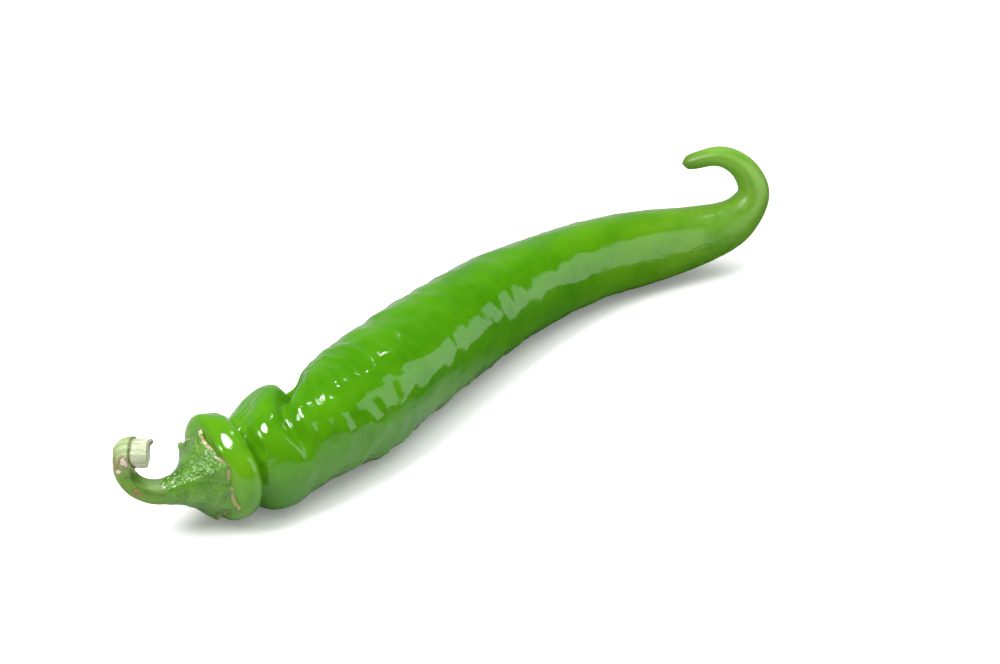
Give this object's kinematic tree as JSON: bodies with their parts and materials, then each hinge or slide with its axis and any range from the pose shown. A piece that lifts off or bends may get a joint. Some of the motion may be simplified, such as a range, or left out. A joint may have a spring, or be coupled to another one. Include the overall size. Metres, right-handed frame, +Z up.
{
  "type": "green chilli pepper",
  "caption": "Long green chilli pepper lying on its side, with a creased shoulder, a curled tip, a toothed calyx and a hooked stem.",
  "frame": {"origin": "middle of the footprint of the whole pepper, on the surface it lies on", "axes": "+X along the fruit from the stem to the tip, +Y across it towards the outside of its bend, +Z up"},
  "size_m": [0.1694, 0.0318, 0.0291],
  "materials": {
    "fruit_skin": "smooth waxy skin with a wet gloss, mottled mid and yellow green",
    "calyx_skin": "dull leafy green with veins and a dry tan edge",
    "stem_skin": "dull ribbed green with pale scars and a pale torn end"
  },
  "bodies": {
    "root": {"fruit": "fruit_skin", "calyx": "calyx_skin", "stem": "stem_skin"}
  },
  "joints": []
}
